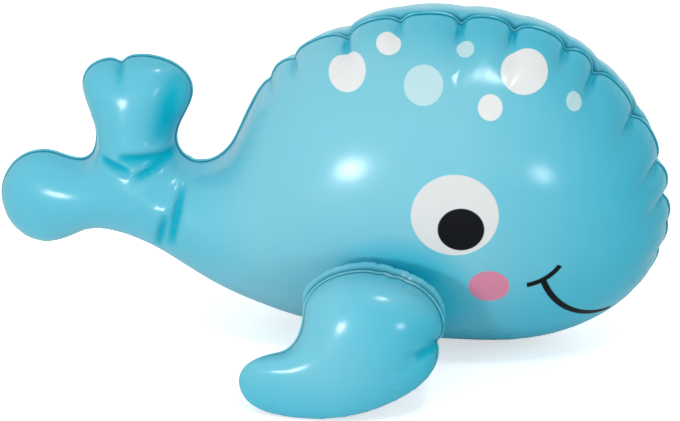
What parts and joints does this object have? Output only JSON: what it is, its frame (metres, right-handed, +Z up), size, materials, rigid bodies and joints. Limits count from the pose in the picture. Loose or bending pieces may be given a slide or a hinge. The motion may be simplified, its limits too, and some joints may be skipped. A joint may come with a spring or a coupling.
{
  "type": "inflatable whale",
  "caption": "Inflatable baby whale pool toy: welded film panels blown up to a round body with a lobed tail, springy side fins and an air valve with a stopper.",
  "frame": {"origin": "on the ground under the middle of the length and width", "axes": "+X towards the nose, +Y to the animal's left, +Z up; the plane y = 0 holds the body's seam"},
  "size_m": [0.36, 0.2186, 0.185],
  "materials": {
    "film": "glossy light-blue vinyl film with printed face and spots",
    "valve": "soft milky moulded vinyl"
  },
  "bodies": {
    "body": {"body_panel_right": "film", "body_panel_left": "film", "valve_base": "valve"},
    "fin_right": {"fin_right_outer_panel": "film", "fin_right_inner_panel": "film"},
    "fin_left": {"fin_left_outer_panel": "film", "fin_left_inner_panel": "film"},
    "valve_stem": {"valve_stem": "valve"},
    "valve_plug": {"valve_plug": "valve"},
    "valve_check_flap": {"valve_check_flap": "valve"}
  },
  "joints": [
    {"name": "fin_right_flap", "type": "hinge", "parent": "body", "child": "fin_right", "pos_m": [0.03, -0.06089, 0.06777], "axis": [-1, 0, 0], "range_deg": [0, 30], "stiffness_Nm_per_rad": 0.3},
    {"name": "fin_left_flap", "type": "hinge", "parent": "body", "child": "fin_left", "pos_m": [0.03, 0.06089, 0.06777], "axis": [1, 0, 0], "range_deg": [0, 30], "stiffness_Nm_per_rad": 0.3},
    {"name": "valve_stem_slide", "type": "slide", "parent": "body", "child": "valve_stem", "axis": [-0.301, 0.9387, 0.1682], "range_m": [0, 0.0098]},
    {"name": "valve_plug_swing", "type": "hinge", "parent": "valve_stem", "child": "valve_plug", "pos_m": [-0.00825, 0.05284, 0.10524], "axis": [0.0514, -0.1602, 0.9858], "range_deg": [0, 135]},
    {"name": "valve_flap_swing", "type": "hinge", "parent": "valve_stem", "child": "valve_check_flap", "pos_m": [0.00047, 0.03483, 0.10186], "axis": [-0.0514, 0.1602, -0.9858], "range_deg": [0, 60], "stiffness_Nm_per_rad": 0.005}
  ]
}
